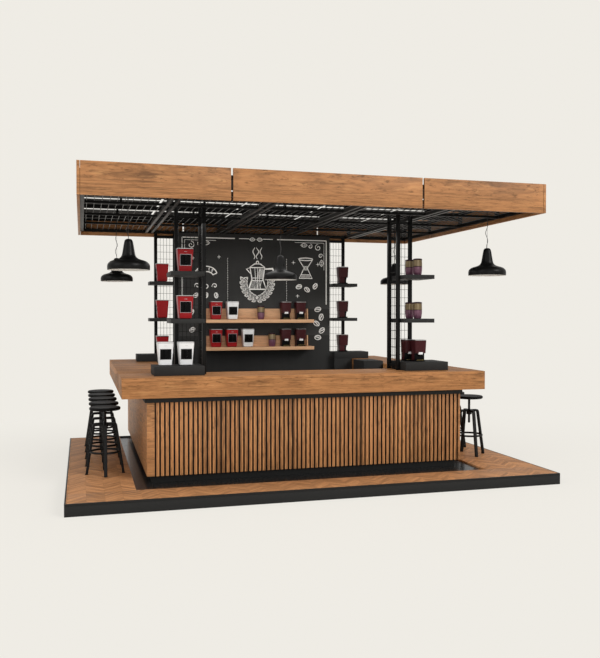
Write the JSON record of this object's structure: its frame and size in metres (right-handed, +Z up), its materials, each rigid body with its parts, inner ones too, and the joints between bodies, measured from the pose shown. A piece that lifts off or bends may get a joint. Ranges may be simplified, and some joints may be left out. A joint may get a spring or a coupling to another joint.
{
  "type": "coffee kiosk",
  "caption": "Island coffee kiosk: a wood-clad counter ring on a platform, under a flat open-grid roof on shelf towers, with pendant lamps, bar stools and coffee machines on show.",
  "frame": {"origin": "centre of the platform's underside, on the floor", "axes": "+Z up, +X to the right along the long front, the serving front faces -Y"},
  "size_m": [5, 4.036, 3.16],
  "materials": {
    "black_board": "satin black laminate",
    "black_steel": "black powder coat",
    "canister_tin": "printed tin, gold-brown above and plum below",
    "chalkboard": "matt blackboard with chalk drawing",
    "cord_rubber": "dark round flex",
    "counter_wood": "warm oiled wood veneer with dark streaks along the grain",
    "deck_wood": "herringbone laid wood boards with thin dark joints",
    "gloss_floor": "polished black floor sheet",
    "lamp_enamel": "satin black outside, white inside",
    "machine_maroon": "gloss dark maroon shell with dark window",
    "machine_red": "gloss red shell with dark window",
    "machine_white": "gloss white shell with dark window",
    "platform_black": "satin black plinth edge",
    "roof_board": "dark matt ceiling board",
    "seat_black": "satin black round seat",
    "shelf_wood": "pale clear lacquered wood",
    "steel_wire": "thin dark steel wire",
    "stool_steel": "black painted steel"
  },
  "bodies": {
    "root": {"back_wall": "chalkboard", "cabinets": "black_board", "canisters": "canister_tin", "countertop_back": "counter_wood", "countertop_front": "counter_wood", "countertop_left": "counter_wood", "countertop_right": "counter_wood", "deck_front": "deck_wood", "deck_left": "deck_wood", "deck_right": "deck_wood", "edge_trims": "platform_black", "fascia_back": "counter_wood", "fascia_front": "counter_wood", "fascia_left": "counter_wood", "fascia_right": "counter_wood", "floor_inset": "gloss_floor", "lamp_cords": "cord_rubber", "lamp_shades": "lamp_enamel", "lamp_wires": "steel_wire", "machines_maroon": "machine_maroon", "machines_red": "machine_red", "machines_white": "machine_white", "platform_base": "platform_black", "roof_beams": "black_steel", "roof_joists": "black_steel", "roof_panels": "roof_board", "roof_rails": "black_steel", "side_panels": "counter_wood", "slats_back": "counter_wood", "slats_front": "counter_wood", "staff_unit": "black_board", "stool_frames_left": "stool_steel", "stool_frames_right": "stool_steel", "subtop": "black_board", "tower_boxes": "black_board", "tower_mesh_back": "black_steel", "tower_mesh_front": "black_steel", "tower_posts": "black_steel", "tower_rails": "black_steel", "tower_shelves": "black_board", "wall_cheeks": "black_board", "wall_shelf_lower": "shelf_wood", "wall_shelf_upper": "shelf_wood"},
    "seat_left_1_body": {"seat_left_1": "seat_black"},
    "seat_left_2_body": {"seat_left_2": "seat_black"},
    "seat_left_3_body": {"seat_left_3": "seat_black"},
    "seat_left_4_body": {"seat_left_4": "seat_black"},
    "seat_left_5_body": {"seat_left_5": "seat_black"},
    "seat_right_1_body": {"seat_right_1": "seat_black"},
    "seat_right_2_body": {"seat_right_2": "seat_black"},
    "seat_right_3_body": {"seat_right_3": "seat_black"},
    "seat_right_4_body": {"seat_right_4": "seat_black"},
    "seat_right_5_body": {"seat_right_5": "seat_black"}
  },
  "joints": [
    {"name": "seat_left_1_turn", "type": "hinge", "parent": "root", "child": "seat_left_1_body", "pos_m": [-2.112, -0.64, 0.7], "axis": [0, 0, 1], "continuous": true},
    {"name": "seat_left_2_turn", "type": "hinge", "parent": "root", "child": "seat_left_2_body", "pos_m": [-2.112, -0.18, 0.7], "axis": [0, 0, 1], "continuous": true},
    {"name": "seat_left_3_turn", "type": "hinge", "parent": "root", "child": "seat_left_3_body", "pos_m": [-2.112, 0.28, 0.7], "axis": [0, 0, 1], "continuous": true},
    {"name": "seat_left_4_turn", "type": "hinge", "parent": "root", "child": "seat_left_4_body", "pos_m": [-2.112, 0.74, 0.7], "axis": [0, 0, 1], "continuous": true},
    {"name": "seat_left_5_turn", "type": "hinge", "parent": "root", "child": "seat_left_5_body", "pos_m": [-2.112, 1.2, 0.7], "axis": [0, 0, 1], "continuous": true},
    {"name": "seat_right_1_turn", "type": "hinge", "parent": "root", "child": "seat_right_1_body", "pos_m": [2.112, -0.64, 0.7], "axis": [0, 0, 1], "continuous": true},
    {"name": "seat_right_2_turn", "type": "hinge", "parent": "root", "child": "seat_right_2_body", "pos_m": [2.112, -0.18, 0.7], "axis": [0, 0, 1], "continuous": true},
    {"name": "seat_right_3_turn", "type": "hinge", "parent": "root", "child": "seat_right_3_body", "pos_m": [2.112, 0.28, 0.7], "axis": [0, 0, 1], "continuous": true},
    {"name": "seat_right_4_turn", "type": "hinge", "parent": "root", "child": "seat_right_4_body", "pos_m": [2.112, 0.74, 0.7], "axis": [0, 0, 1], "continuous": true},
    {"name": "seat_right_5_turn", "type": "hinge", "parent": "root", "child": "seat_right_5_body", "pos_m": [2.112, 1.2, 0.7], "axis": [0, 0, 1], "continuous": true}
  ]
}
